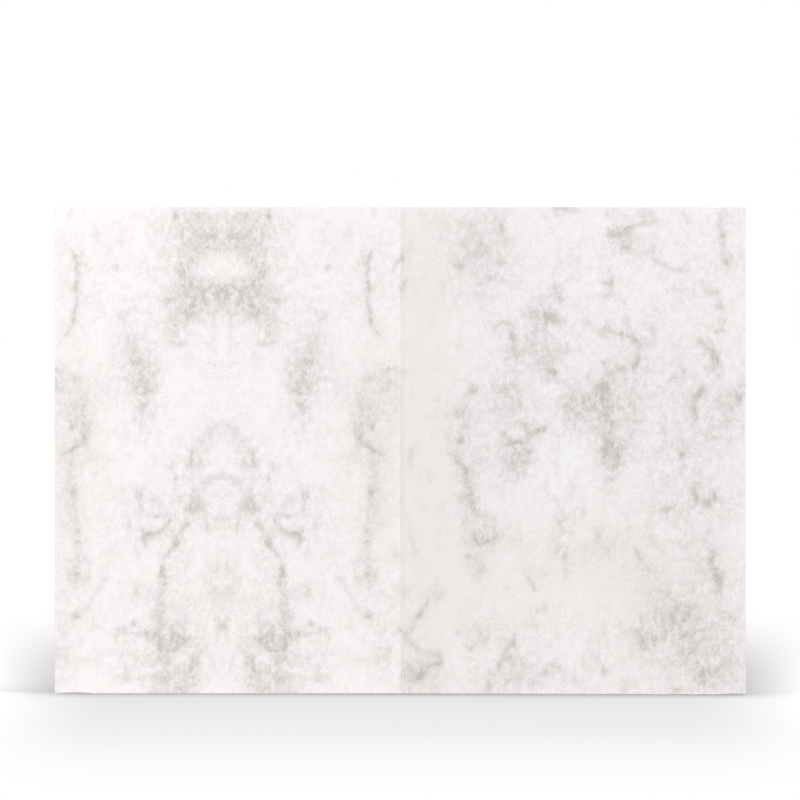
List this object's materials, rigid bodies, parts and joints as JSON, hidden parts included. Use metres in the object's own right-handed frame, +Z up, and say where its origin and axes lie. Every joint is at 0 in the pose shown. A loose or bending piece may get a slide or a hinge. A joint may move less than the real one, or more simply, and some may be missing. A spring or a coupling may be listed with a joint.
{
  "type": "folded card",
  "caption": "Landscape sheet of white, grey-marbled card with a single scored fold down its middle, opened wide and standing on its bottom edge.",
  "frame": {"origin": "on the surface that the card stands on, under the middle of its bounding box", "axes": "+X across the opened card, along its width; +Y from the reader towards the fold, so the inside of the fold faces -Y; +Z up, along the fold"},
  "size_m": [0.2532, 0.01, 0.1778],
  "materials": {
    "card_stock": "matt uncoated card, white with a faint warm tint and soft grey marbling on both faces"
  },
  "bodies": {
    "root": {"card_sheet": "card_stock"}
  },
  "joints": []
}
